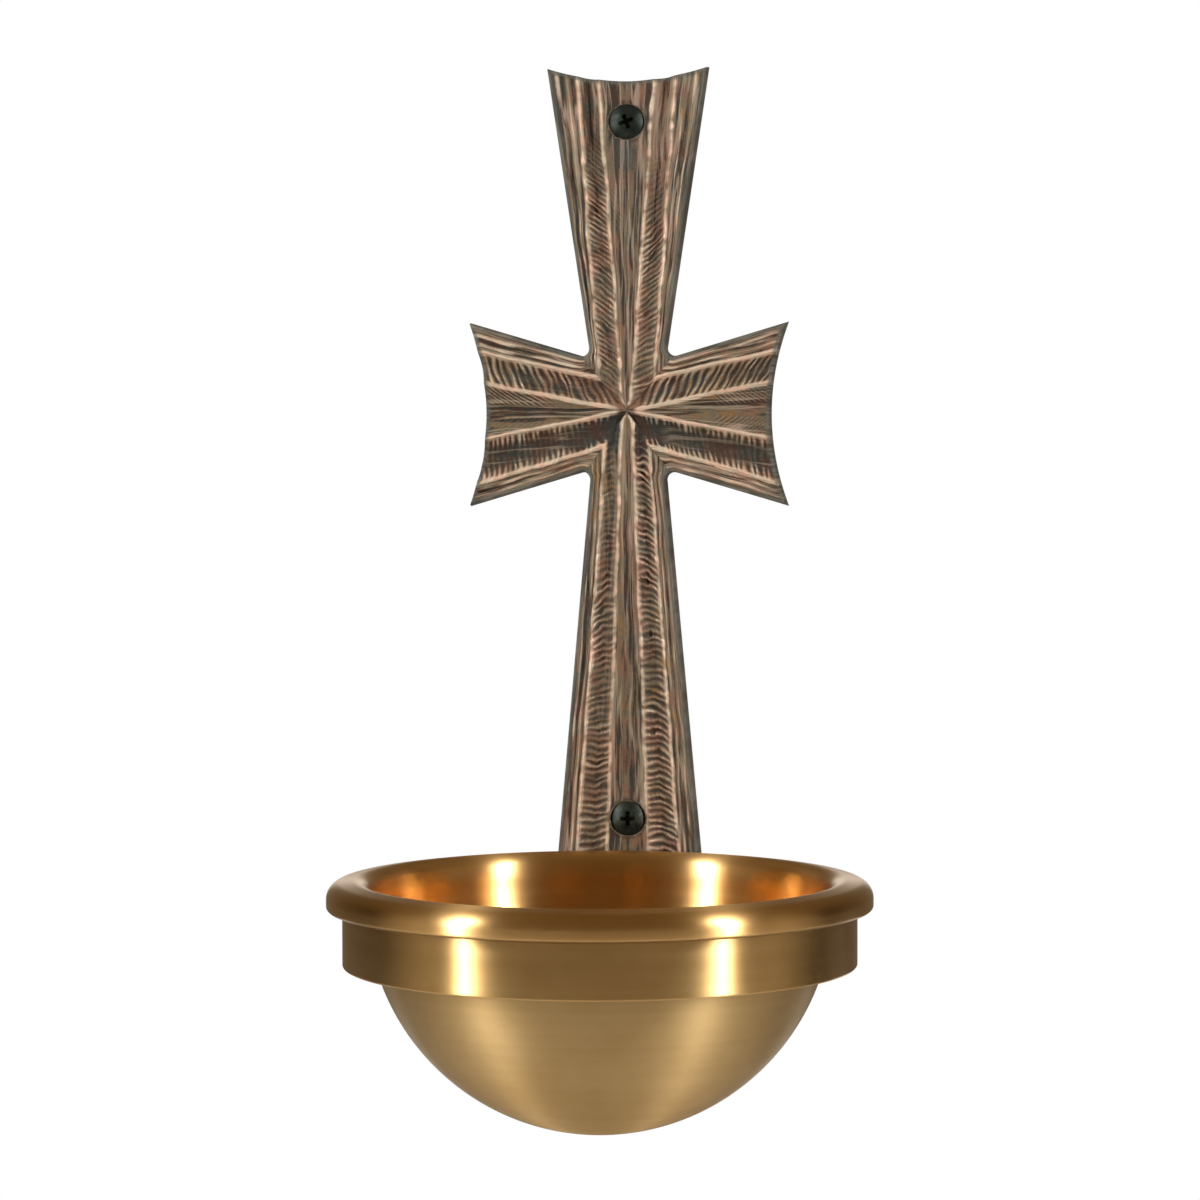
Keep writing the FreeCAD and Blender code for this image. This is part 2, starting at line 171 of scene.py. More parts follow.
def turned(points, axis_point, steps, closed=True):
    """Turn a profile of (radius, height) points about an upright axis."""
    bm = bmesh.new()
    verts = [bm.verts.new((r, 0, h)) for r, h in points]
    edges = [bm.edges.new(pair) for pair in zip(verts, verts[1:])]
    if closed:
        edges.append(bm.edges.new((verts[-1], verts[0])))
    bmesh.ops.spin(bm, geom=verts + edges, cent=(0, 0, 0), axis=UP, dvec=(0, 0, 0),
                   angle=2 * math.pi, steps=steps, use_merge=True, use_duplicate=False)
    bmesh.ops.remove_doubles(bm, verts=bm.verts, dist=1e-7)
    bmesh.ops.recalc_face_normals(bm, faces=bm.faces)
    bmesh.ops.translate(bm, verts=bm.verts, vec=axis_point)
    return bm


# ------------------------------------------------------------------- materials
class Socket:
    """A value in a material: sums of sockets add their own Math nodes."""

    def __init__(self, tree, out):
        self.tree = tree
        self.out = out

    def math(self, operation, *values):
        return self.tree.node("ShaderNodeMath", {"operation": operation}, list(values))

    def __add__(self, other):
        return self.math("ADD", self, other)

    def __sub__(self, other):
        return self.math("SUBTRACT", self, other)

    def __rsub__(self, other):
        return self.math("SUBTRACT", other, self)

    def __mul__(self, other):
        return self.math("MULTIPLY", self, other)

    def __pow__(self, other):
        return self.math("POWER", self, other)

    __radd__ = __add__
    __rmul__ = __mul__

    def between(self, low, high):
        """0 below low, 1 above high and a smooth rise between them."""
        return self.tree.node("ShaderNodeMapRange", {"interpolation_type": "SMOOTHSTEP"},
                              {"Value": self, "From Min": low, "From Max": high})


class Tree:
    """The node tree of one material or of the world."""

    def __init__(self, owner):
        owner.use_nodes = True
        self.nodes = owner.node_tree.nodes
        self.links = owner.node_tree.links
        self.nodes.clear()

    def node(self, kind, settings=None, values=None, output=0):
        """Add a node: its settings first, then the values or links of its sockets."""
        made = self.nodes.new(kind)
        for key, value in (settings or {}).items():
            if key == "stops":
                ramp = made.color_ramp
                while len(ramp.elements) < len(value):
                    ramp.elements.new(0.5)
                for element, (position, colour) in zip(ramp.elements, value):
                    element.position = position
                    element.color = (*colour, 1)
            else:
                setattr(made, key, value)
        pairs = enumerate(values) if isinstance(values, list) else (values or {}).items()
        for key, value in pairs:
            if isinstance(value, Socket):
                self.links.new(value.out, made.inputs[key])
            else:
                made.inputs[key].default_value = value
        return Socket(self, made.outputs[output]) if made.outputs else None

    def mix(self, factor, first, second):
        """Mix two colours."""
        first, second = [c if isinstance(c, Socket) else (*c, 1) for c in (first, second)]
        return self.node("ShaderNodeMix", {"data_type": "RGBA"},
                         {0: factor, 6: first, 7: second}, output=2)

    def vector(self, operation, *values):
        return self.node("ShaderNodeVectorMath", {"operation": operation}, list(values))

    def place(self, centre=(0, 0, 0)):
        """Object coordinates about a centre, in metres."""
        coordinates = self.node("ShaderNodeTexCoord", output=3)
        return self.vector("SUBTRACT", coordinates, tuple(centre))

    def noise(self, vector, scale, detail=3.0, roughness=0.55, distortion=0.0):
        return self.node("ShaderNodeTexNoise", None,
                         {"Vector": vector, "Scale": scale, "Detail": detail,
                          "Roughness": roughness, "Distortion": distortion})

    def attribute(self, name):
        return self.node("ShaderNodeAttribute", {"attribute_name": name}, output=2)

    def split(self, vector):
        parts = self.node("ShaderNodeSeparateXYZ", None, [vector])
        outputs = parts.out.node.outputs
        return [Socket(self, outputs[i]) for i in range(3)]

    def bump(self, height, strength, distance):
        return self.node("ShaderNodeBump", None,
                         {"Height": height, "Strength": strength, "Distance": distance})

    def surface(self, **sockets):
        """Principled surface; keys are socket names with _ for a space."""
        values = {key.replace("_", " "): value for key, value in sockets.items()}
        shader = self.node("ShaderNodeBsdfPrincipled", None, values)
        self.node("ShaderNodeOutputMaterial", None, {"Surface": shader})


def antique_bronze():
    """Cast bronze: dark patina and painted shade in the hollows, rubbed to pale copper on the
    ridges.
    """
    material = bpy.data.materials.new("antique_bronze")
    tree = Tree(material)
    place = tree.place(APEX)
    rubbed = tree.attribute("rubbed")
    sunk = tree.attribute("sunk")
    outline = tree.attribute("outline")
    carved = tree.attribute("carved")
    patches = tree.noise(place, 70, 4)
    stains = tree.noise(place, 190, 4, 0.6, 0.4)
    specks = tree.noise(place, 1200, 3, 0.7)
    grain = tree.node("ShaderNodeAttribute", {"attribute_name": "grain"}, output=1)
    wide = tree.noise(tree.vector("MULTIPLY", grain, (0.020, 0.85, 1.0)), 1.0, 2, 0.5)
    fine = tree.noise(tree.vector("MULTIPLY", grain, (0.11, 3.4, 1.0)), 1.0, 3, 0.6)
    scratch = ((wide - 0.5) * (wide - 0.5)) ** 0.5
    scratch = (0.050 - scratch + (fine - 0.5) * 0.08).between(0.0, 0.05)
    furrow = (fine * 0.5 + wide * 0.5).between(0.50, 0.60)
    dark = tree.mix(stains.between(0.42, 0.6), (0.048, 0.021, 0.009), (0.025, 0.025, 0.018))
    clouded = (patches * 0.5 + stains * 0.5).between(0.42, 0.58)
    brown = tree.mix(clouded, (0.225, 0.122, 0.070), (0.152, 0.132, 0.079))
    amber = (stains * 0.6 + patches * 0.4).between(0.53, 0.60)
    brown = tree.mix(amber * 0.8, brown, (0.270, 0.130, 0.042))
    streak = tree.mix(patches.between(0.42, 0.58), (0.44, 0.31, 0.23), (0.37, 0.31, 0.21))
    copper = tree.mix(stains.between(0.38, 0.62), (0.84, 0.57, 0.41), (0.70, 0.58, 0.43))
    grey = tree.mix(fine.between(0.4, 0.6), (0.060, 0.064, 0.050), (0.150, 0.150, 0.125))
    plain = 1 - carved
    # dark in the hollows: real patina, and the painted shade that the carving adds under ridges and
    # below the crossing
    hollow = (sunk + furrow * 0.60 * plain + (specks - 0.5) * 0.6).between(0.20, 0.95)
    worn = (rubbed + (specks - 0.5) * 0.34 + (fine - 0.5) * 0.45).between(0.24, 0.92)
    colour = tree.mix(hollow, brown, dark)
    colour = tree.mix(scratch * plain * 0.70, colour, streak)
    colour = tree.mix(worn, colour, copper)
    colour = tree.mix(outline * 0.8, colour, grey)
    roughness = 0.62 - 0.20 * worn + 0.2 * (specks - 0.5)
    height = specks * 0.35 + (scratch - furrow) * plain * 0.65
    normal = tree.bump(height, 0.7, 0.0003)
    metal = 0.15 + 0.12 * worn
    tree.surface(Base_Color=colour, Roughness=roughness, Metallic=metal, Normal=normal)
    return material


def cast_bronze():
    """Plain darkened casting: the flat back of the cross."""
    material = bpy.data.materials.new("cast_bronze")
    tree = Tree(material)
    place = tree.place(APEX)
    clouds = tree.noise(place, 60, 4, 0.6)
    stains = tree.noise(place, 210, 4, 0.6, 0.5)
    grit = tree.noise(place, 1500, 3, 0.7)
    colour = tree.mix(clouds.between(0.38, 0.62), (0.21, 0.145, 0.090), (0.155, 0.127, 0.083))
    blot = (stains + 0.4 * (grit - 0.5)).between(0.52, 0.66)
    colour = tree.mix(blot * 0.8, colour, (0.055, 0.042, 0.028))
    rub = (clouds * 0.4 + grit * 0.6).between(0.58, 0.68)
    colour = tree.mix(rub * 0.6, colour, (0.42, 0.29, 0.19))
    rough = 0.60 + 0.25 * (stains - 0.5) - 0.12 * rub
    normal = tree.bump(grit * 0.6 + stains * 0.8, 0.6, 0.0003)
    tree.surface(Base_Color=colour, Roughness=rough, Metallic=0.35, Normal=normal)
    return material


def brushing(tree):
    """Fine and wide turning marks about the upright axis, and the dark band under the rim: tarnish
    and painted shade in the joint.
    """
    x, y, z = tree.split(tree.place(BOWL_AXIS))
    reach = (x * x + y * y) ** 0.5
    above = z - RIM_Z
    joint_tarnish_and_shade = (JOINT_TARNISH_AND_SHADE - (above * above) ** 0.5).between(0, 0.6 * MM)
    joint_tarnish_and_shade = reach.between(RING_BORE, RING_BORE + 2 * MM) * joint_tarnish_and_shade
    marks = tree.node("ShaderNodeCombineXYZ", None, [reach * 0.1 + 0.006 * x, 0.006 * y, z])
    return tree.noise(marks, 1300, 1, 0.5), tree.noise(marks, 420, 2, 0.5), joint_tarnish_and_shade


def turned_bronze(name, tone, roughness, brushed=0.95):
    """Turned and satin-brushed bronze."""
    material = bpy.data.materials.new(name)
    tree = Tree(material)
    place = tree.place(BOWL_AXIS)
    fine, wide, joint_tarnish_and_shade = brushing(tree)
    clouds = tree.noise(place, 24, 3)
    smudges = tree.noise(place, 80, 4, 0.6)
    shade_of = clouds * 0.55 + wide * 0.22 + smudges * 0.23
    deep = tuple(c * d for c, d in zip(tone, (0.90, 0.86, 0.80)))
    light = tuple(c * d for c, d in zip(tone, (1.05, 1.06, 1.08)))
    colour = tree.mix(shade_of.between(0.36, 0.64), deep, light)
    # darker in the joint under the rim: tarnish and painted shade
    colour = tree.mix(joint_tarnish_and_shade * 0.75, colour, (0.16, 0.09, 0.035))
    rough = roughness + 0.05 * (smudges - 0.5) + 0.03 * (wide - 0.5)
    normal = tree.bump(fine * 0.5 + wide * 0.5, 0.08, 0.00006)
    tree.surface(Base_Color=colour, Roughness=rough, Metallic=1.0, Anisotropic=brushed,
                 Anisotropic_Rotation=0.25, Normal=normal)
    return material


def black_screw_steel():
    """Black oxide, worn a little in scattered patches."""
    material = bpy.data.materials.new("black_screw_steel")
    tree = Tree(material)
    place = tree.place()
    clouds = tree.noise(place, 350, 4)
    specks = tree.noise(place, 1600, 3, 0.7)
    worn = (specks * 0.6 + clouds * 0.4).between(0.56, 0.72)
    colour = tree.mix(clouds.between(0.4, 0.6), (0.014, 0.020, 0.016), (0.030, 0.038, 0.030))
    colour = tree.mix(worn * 0.6, colour, (0.16, 0.15, 0.12))
    rough = 0.42 + 0.3 * (specks - 0.5)
    normal = tree.bump(specks, 0.3, 0.0001)
    tree.surface(Base_Color=colour, Roughness=rough, Metallic=0.7, Normal=normal)
    return material


def screw_brass():
    """Plain turned brass of the hidden machine screws."""
    material = bpy.data.materials.new("screw_brass")
    tree = Tree(material)
    place = tree.place()
    clouds = tree.noise(place, 400, 3)
    colour = tree.mix(clouds.between(0.35, 0.65), (0.48, 0.33, 0.13), (0.66, 0.48, 0.22))
    rough = 0.34 + 0.2 * (clouds - 0.5)
    normal = tree.bump(clouds, 0.2, 0.0001)
    tree.surface(Base_Color=colour, Roughness=rough, Metallic=1.0, Normal=normal)
    return material


def floor_paint():
    """Pale matt floor under the stoup that runs out into the white background."""
    material = bpy.data.materials.new("floor_paint")
    tree = Tree(material)
    rays = tree.node("ShaderNodeLightPath")
    outputs = rays.out.node.outputs
    eye, glossy, passing = [Socket(tree, outputs[n]) for n in
                            ("Is Camera Ray", "Is Glossy Ray", "Is Transmission Ray")]
    place = tree.place(BOWL_AXIS)
    x, y, _ = tree.split(place)
    run_out = ((x * x + y * y) ** 0.5).between(*FLOOR_RUN_OUT)
    behind = y.between(*FLOOR_BEHIND)
    mottle = tree.noise(place, 6, 2)
    colour = tree.mix(mottle, (0.72, 0.71, 0.70), (0.75, 0.74, 0.73))
    matt = tree.node("ShaderNodeBsdfDiffuse", None, {"Color": colour})
    white = tree.node("ShaderNodeEmission", None, {"Color": (1, 1, 1, 1), "Strength": 1.0})
    seen = (eye + (glossy + passing) * behind) * run_out
    surface = tree.node("ShaderNodeMixShader", None, [seen, matt, white])
    tree.node("ShaderNodeOutputMaterial", None, {"Surface": surface})
    return material


# ------------------------------------------------------------------- the cross
class Arm:
    """One arm of the cross, in millimetres from where the ridges meet."""

    def __init__(self, along, length, tip, sag, neck, ridges, borders, strokes):
        self.along = along
        self.across = Vector((-along.y, along.x))
        crossing = Vector((0, -RELIEF_RISE))
        self.aside = crossing.dot(self.across)
        self.end = length + crossing.dot(along)
        self.tip = tip
        self.sag = sag
        self.neck = Vector((neck[0] + crossing.dot(along), neck[1]))
        self.ridge_start, self.ridge_spread = ridges
        self.borders = borders
        self.strokes = strokes

    def corner(self, side):
        """Where this arm's border ridge meets the next arm's: along and out."""
        above = (self.along + self.across * side).y > 0
        x, z = UPPER_CORNER if above else LOWER_CORNER
        return Vector((x, z) if self.along.x else (z, x))

    def ridge(self, u):
        """From the middle of the arm out to a middle ridge."""
        opening = self.ridge_start * smoothstep(0.0, 3.5, u)
        return opening + (self.ridge_spread - self.ridge_start) * u / self.end

    def border(self, u, side):
        """From the middle of the arm out to the border ridge of one side."""
        near = self.corner(side)
        spread = self.borders[0] if self.across.y * side >= 0 else self.borders[1]
        return near.y + (spread - near.y) * (u - near.x) / (self.end - near.x)

    def end_at(self, a, side):
        """Where the hollow end of the arm lies."""
        out = (side * a - self.aside) / self.tip
        slope = 2 * self.sag * out / self.tip
        return self.end - FRONT_INSET * math.hypot(1, slope) - self.sag * (1 - out * out)

    def set_edges(self, neighbours):
        """Edges from the rounded inner corners out to the tips, for both sides."""
        self.edges = {}
        for side, other in neighbours.items():
            ways = []
            for arm, arm_side in ((self, side), (other, -side)):
                neck = arm.neck + Vector((0, arm_side * arm.aside))
                tip = Vector((arm.end, arm.tip + arm_side * arm.aside))
                ways.append((neck, (tip - neck).normalized()))
            neck, way = ways[0]
            next_way = ways[1][1].yx
            half = way.angle(next_way) / 2
            middle = (way + next_way).normalized()
            neck = neck - middle * FRONT_INSET / math.sin(half)
            radius = NECK_FILLET + FRONT_INSET
            centre = neck + middle * radius / math.sin(half)
            self.edges[side] = (neck, way, centre, radius, centre - middle * radius,
                                neck + way * radius / math.tan(half))

    def edge(self, u, side):
        """From the middle of the arm out to its edge."""
        neck, way, centre, radius, middle, tangent = self.edges[side]
        if u >= tangent.x:
            return neck.y + (u - neck.x) * way.y / way.x
        if u > middle.x:
            return centre.y - math.sqrt(max(0.0, radius ** 2 - (u - centre.x) ** 2))
        return middle.y


# Each arm: its way, its length, half its tip, the sag of its hollow end, the inner
# corner, where the middle ridges start and end, how far out the border ridges end,
# and the graver's strokes on its two sides.  These run from the crossing outwards as
# place, run-out along the arm in the middle of the groove and at the border ridge,
# and depth.
SIDE_SHAPE = (44.2, 25.4, 4.8, (10.3, 15.3), (0.0, 8.8), (16.8, 20.7))
RIGHT = Arm(Vector((1, 0)), *SIDE_SHAPE,
            {1: [(6, 2.2, 5.0, 1.0), (44, 2.4, 5.2, 0.9)],
             -1: [(6, 0.4, 1.6, 1.0), (44, 0.5, 2.2, 1.0)]})
UPPER = Arm(Vector((0, 1)), UPPER_ARM, 22.3, 3.8, (15.3, 10.3), (1.1, 8.0), (13.6, 13.6),
            {1: [(8, 1.8, 3.5, 0.8), (56, 2.3, 4.8, 1.0), (68, 2.3, 4.8, 0.6),
                 (76, 2.3, 4.8, 0.1)],
             -1: [(8, 1.6, 3.2, 0.9), (48, 2.0, 4.2, 0.9), (62, 2.0, 4.2, 0.3),
                  (72, 2.0, 4.2, 0.05)]})
LEFT = Arm(Vector((-1, 0)), *SIDE_SHAPE,
           {1: [(6, -0.3, -1.2, 1.0), (44, -0.3, -1.0, 1.0)],
            -1: [(6, 1.6, 3.2, 0.8), (44, 1.8, 3.6, 1.0)]})
LOWER = Arm(Vector((0, -1)), 148.0, 22.2, 3.8, (15.3, 10.3), (1.5, 6.7), (15.9, 15.9),
            {1: [(8, 0.8, 2.2, 0.9), (20, 1.3, 3.4, 1.0), (50, 1.2, 3.2, 1.0),
                 (60, 0.4, 1.6, 0.9), (80, 0.2, 1.4, 1.0), (90, -0.3, 1.9, 1.0),
                 (149, -0.3, 1.9, 1.0)],
             -1: [(8, -0.3, 0.3, 0.6), (46, -0.2, 0.8, 0.7), (54, 0.5, 2.9, 1.0),
                  (63, 0.5, 2.8, 0.9), (69, 0.5, 1.8, 0.75), (84, 0.4, 1.4, 0.75),
                  (92, 1.1, 0.2, 0.9), (149, 0.9, 0.4, 0.9)]})
ARMS = [RIGHT, UPPER, LEFT, LOWER]
for index, arm in enumerate(ARMS):
    arm.set_edges({1: ARMS[(index + 1) % 4], -1: ARMS[index - 1]})

# the carving, in millimetres: cells of its grid, then its ridges and strokes; the
# crests between strokes are as wide as a share of the pitch on the side arms
GROOVE_CELLS = 20
BORDER_CELLS = 11
ROW_PITCH = 0.35
MIDDLE_PITCH = 0.7
SIDE_MIDDLE_PITCH = 0.45
MITRE_FADE = 2.5
RIDGE_WIDTH = 0.68
BORDER_WIDTH = 0.72
CREST_WIDTH = 0.62
SIDE_CREST_SHARE = 0.35
STROKE_DEPTH = 0.62
STROKE_PITCH = 1.62
LOWER_STROKE_PITCH = 1.85
SIDE_STROKE_PITCH = 2.1
TOOTH_PITCH = 1.6
SWAY = 0.40
SCREW_CLEARING = (5.1, 6.4)

# the patina that has run down from the upper wall screw
STAIN_DROP = 9 * MM
STAIN_WIDTH = 2.6 * MM
STAIN_LENGTH = 4.5 * MM

# how far the sides have come out, and how far back each step lies; None is the wall
SIDE_STEPS = ((0.25, 0.12), (0.45, 0.7), (FRONT_INSET, None))


def on_arm(x, z):
    """The arm and the side on which a point lies, and the point along and out."""
    point = Vector((x, z))
    corner = UPPER_CORNER if z > 0 else LOWER_CORNER
    places = []
    for arm in ARMS:
        u, v = point.dot(arm.along), point.dot(arm.across)
        side = 1 if v > 0 else -1
        if u >= 0 and (arm.along.x or arm.along.y * z >= 0):
            places.append((arm, side, u, abs(v), abs(v) - arm.border(u, side)))
    if all(place[4] > 0 for place in places):
        return min(places, key=lambda place: place[4])[:4]
    upright = abs(z) * corner[0] > abs(x) * corner[1]
    for place in places:
        if bool(place[0].along.y) == upright:
            return place[:4]
    return places[0][:4]


def wander(a, b, seed):
    """Slow wander of a hand-led line, from about -1 to 1."""
    return noise.noise(Vector((a, b, seed)))


def stroke_at(arm, side, u):
    """How the strokes of a groove run at one place."""
    stops = arm.strokes[side]
    for before, after in zip(stops, stops[1:]):
        if u <= after[0]:
            t = max(0.0, (u - before[0]) / (after[0] - before[0]))
            return [p + (q - p) * t for p, q in zip(before[1:], after[1:])]
    return stops[-1][1:]


def hatch(phase, pitch, width=CREST_WIDTH):
    """Narrow crest between two strokes, from 0 to 1, and the number of the stroke."""
    number = math.floor(phase)
    part = phase - number
    return math.exp(-(min(part, 1 - part) * pitch / width) ** 2), number


class Spot:
    """A point of the front: where it lies on its arm, and what is near it."""

    def __init__(self, x, z):
        arm, side, u, a = on_arm(x, z)
        seed = 2.3 * ARMS.index(arm) + 1.1 * side
        self.arm, self.side, self.u, self.a, self.seed = arm, side, u, a, seed
        self.sideways = bool(arm.along.x)
        self.upper_half = arm.across.y * side > 0
        self.lower_half = arm.across.y * side < 0
        self.ridge, self.border, self.edge = arm.ridge(u), arm.border(u, side), arm.edge(u, side)
        to_edge = min(self.edge - a, arm.end_at(a, side) - u)
        self.rim = smoothstep(0.0, 1.4, to_edge)
        self.outline = 1 - smoothstep(0.1, 1.1, to_edge)
        self.start = smoothstep(0.5, 6.0, u)
        self.broken = 1.25 if self.sideways else 0.80
        self.broken += 0.5 * wander(u * 0.45, 3.6 * side, seed)
        self.broken += 0.22 * wander(u * 0.8, 1.37, seed)
        self.on_ridge = math.exp(-((a - self.ridge) / RIDGE_WIDTH) ** 2)
        self.on_ridge *= smoothstep(0.1, 0.9, self.ridge)
        self.on_border = math.exp(-((a - self.border) / BORDER_WIDTH) ** 2)
        self.on_border *= smoothstep(1.0, 5.0, u)
        self.crest = max(self.on_ridge, self.on_border)
        grain = wander(u * 0.055, a * 0.75, seed + 20)
        grain += 0.55 * wander(u * 0.15, a * 1.9, seed + 40)
        self.furrow = smoothstep(0.0, 0.45, grain)
        self.light = smoothstep(0.0, 0.5, -grain)


# The three kinds of strip each give the depth of the relief, the depth of the strokes,
# how rubbed the metal is, how dark with patina and painted shade, and how much of it is carved in
# strokes.
def chase_border(spot):
    """Long lines on the strip between a border ridge and the edge."""
    u = spot.u
    t = (spot.a - spot.border) / max(spot.edge - spot.border, 1e-6)
    line = math.cos(2 * math.pi * (2.7 * t + 0.30 * wander(u * 0.05, spot.side, spot.seed + 30)))
    long_line = smoothstep(-0.2 if spot.sideways else 0.2, 0.9, line)
    long_line *= 0.75 + 0.7 * wander(u * 0.16, t * 2.0, spot.seed + 33)
    gap = smoothstep(0.4 if spot.sideways else 0.1, 0.95, -line)
    relief = BORDER_SLOPE * (spot.a - spot.border)
    cut_depth = (0.25 * spot.furrow + 0.30 * gap) * spot.rim
    rubbed = max(spot.on_border * spot.broken, 0.22 * spot.light,
                 (0.85 if spot.sideways else 0.66) * long_line)
    sunk = 0.15 + 0.35 * spot.furrow + 0.55 * gap
    return relief, cut_depth, rubbed, sunk, 0.0


def groove_pitch(spot):
    """From one stroke of a groove to the next."""
    if spot.sideways:
        return SIDE_STROKE_PITCH if spot.upper_half else TOOTH_PITCH
    return LOWER_STROKE_PITCH if spot.arm is LOWER else STROKE_PITCH


def chase_groove(spot):
    """Herringbone strokes in the groove between a middle ridge and a border ridge."""
    arm, side, u, seed = spot.arm, spot.side, spot.u, spot.seed
    g = (spot.a - spot.ridge) / max(spot.border - spot.ridge, 1e-6)
    near = arm.corner(side).x / 2
    deep = CORNER_GROOVE + (GROOVE - CORNER_GROOVE) * max(0.0, (u - near) / (arm.end - near))
    hollow = math.sin(math.pi * g)
    middle, high, weight = stroke_at(arm, side, u)
    lead = 2 * g * middle if g < 0.5 else middle + (high - middle) * (2 * g - 1)
    pitch = groove_pitch(spot)
    phase = (u - lead) / pitch + 1.3 * wander(u * 0.035, g * 0.5, seed + 3)
    phase += 0.42 * wander(u * 0.33, g * 2.0, seed + 7)
    width = SIDE_CREST_SHARE * pitch if spot.sideways else CREST_WIDTH
    line, number = hatch(phase, pitch, width)
    line *= 1 - 0.55 * smoothstep(0.1, 0.45, wander(number * 0.9, g * 2.6, seed + 15))
    force = 0.80 + 0.9 * wander(number * 0.73 + 0.4, g * 1.2, seed + 9)
    weight *= spot.start * (0.65 + 0.35 * spot.rim)
    if spot.sideways:
        open_middle = 1.0 if spot.upper_half else 0.5
        weight *= open_middle + (1 - open_middle) * smoothstep(0.2, 0.75, abs(2 * g - 1))
    relief = deep * hollow ** 0.85
    cut_depth = weight * STROKE_DEPTH * (1 - line) * (1 - 0.65 * spot.crest) * force
    cut_depth += (1 - weight) * 0.35 * spot.furrow
    rubbed = max(spot.crest * spot.broken * (1 - 0.35 * weight * (1 - line)),
                 weight * line * (0.43 + 0.30 * (1 - hollow) + 0.45 * (force - 0.8)),
                 (1 - weight) * 0.2 * spot.light * spot.start)
    sunk = (0.12 + 0.22 * hollow + weight * 0.85 * (1 - line) ** 1.9
            + (1 - weight) * 0.4 * spot.furrow)
    # painted shade: the lower sides of the side arms' grooves are darkened as if shaded by the
    # ridge above
    if spot.sideways:
        shaded = 0.06 if spot.upper_half else 0.32 if arm is RIGHT else 0.20
        sunk += shaded * smoothstep(0.3, 0.8, hollow)
    # painted shade: darker near the crossing on the lower arm and on the lower halves of the side
    # arms
    if arm is LOWER or spot.lower_half:
        sunk += 0.75 * smoothstep(17, 5, u)
    carved = (max(weight, smoothstep(16, 8, u))
              * smoothstep(0.0, 0.12, g) * smoothstep(1.0, 0.88, g))
    return relief, cut_depth, rubbed, sunk, carved


def feathering(spot):
    """How strongly slanting strokes cover the middle strip, and which way they slant."""
    u, above = spot.u, spot.side > 0
    if spot.arm is UPPER and above:
        return 0.7 * smoothstep(46, 52, u) * smoothstep(68, 62, u), -1.5
    if spot.arm is LEFT:
        return smoothstep(14, 26, u) * (0.6 if above else 1.0), -1.5
    if spot.arm is RIGHT:
        return smoothstep(20, 26, u) * (1.0 if above else 0.9), 1.5
    return 0.0, 0.0


def chase_middle(spot):
    """The hollow strip between the two middle ridges of an arm."""
    u = spot.u
    t = spot.a / max(spot.ridge, 1e-6)
    relief = HOLLOW * u / spot.arm.end * (1 - t ** 1.8)
    cut_depth = 0.30 * spot.furrow * spot.rim * spot.start
    rubbed = max(spot.on_ridge * spot.broken, 0.15 * spot.light)
    sunk = 0.35 + 0.55 * spot.furrow
    feather, slant = feathering(spot)
    if feather:
        phase = (u + slant * spot.a) / STROKE_PITCH + 0.6 * wander(u * 0.1, t, spot.seed)
        line, _ = hatch(phase, STROKE_PITCH)
        feather *= smoothstep(0.08, 0.35, t)
        cut_depth = (cut_depth * (1 - feather)
                     + 0.5 * feather * (1 - line) * (1 - 0.6 * spot.on_ridge))
        rubbed = max(rubbed, 0.50 * feather * line)
        sunk = max(sunk, feather * (1 - line))
    return relief, cut_depth, rubbed, sunk, 0.0


def chase(x, z):
    """Depth of the relief and of the strokes, and what the finish reads at a point, its painted
    shade included.
    """
    spot = Spot(x, z)
    if spot.a > spot.border:
        strip = chase_border
    elif spot.a > spot.ridge:
        strip = chase_groove
    else:
        strip = chase_middle
    relief, cut_depth, rubbed, sunk, carved = strip(spot)
    sunk = (1.1 if spot.sideways else 1.0) * sunk - 0.4 * spot.crest
    grain_at = Vector((spot.u, 10 * spot.a / spot.edge, 3 * spot.seed))
    return relief, cut_depth, rubbed, sunk, spot.outline, carved, grain_at


def lay_grid(bm, arm, side, rows, cells, out, start):
    """One strip of an arm as a grid: from the mitre out to the end of the arm."""
    made = bmesh.ops.create_grid(bm, x_segments=rows, y_segments=cells, size=1)["verts"]
    lines = {}
    for vert in made:
        part = round((vert.co.y + 1) / 2, 6)
        if part not in lines:
            first = start(part)
            last = arm.end - arm.sag
            for _ in range(6):
                last = arm.end_at(out(part, last), side)
            lines[part] = (first, last, first.y - out(part, first.x))
        first, last, shift = lines[part]
        u = first.x + (last - first.x) * (vert.co.x + 1) / 2
        a = out(part, u) + shift * math.exp((first.x - u) / MITRE_FADE)
        flat = arm.along * u + arm.across * side * a
        vert.co = Vector((flat.x, 0, flat.y)) * MM


def lay_front(bm):
    """The whole front of the cross, still flat, in strips that follow the ridges."""
    for arm in ARMS:
        rows = math.ceil(arm.end / ROW_PITCH)
        for side in (1, -1):
            corner, middle = arm.corner(side), arm.edges[side][4]
            middle_pitch = SIDE_MIDDLE_PITCH if arm.along.x else MIDDLE_PITCH
            lay_grid(bm, arm, side, rows, math.ceil(arm.ridge_spread / middle_pitch),
                     lambda part, u: arm.ridge(u) * part,
                     lambda part: Vector((0, 0)))
            lay_grid(bm, arm, side, rows, GROOVE_CELLS,
                     lambda part, u: arm.ridge(u) + (arm.border(u, side) - arm.ridge(u)) * part,
                     lambda part: corner * part)
            lay_grid(bm, arm, side, rows, BORDER_CELLS,
                     lambda part, u: (arm.border(u, side)
                                      + (arm.edge(u, side) - arm.border(u, side)) * part),
                     lambda part: corner + (middle - corner) * part)
    bmesh.ops.remove_doubles(bm, verts=bm.verts, dist=0.002 * MM)


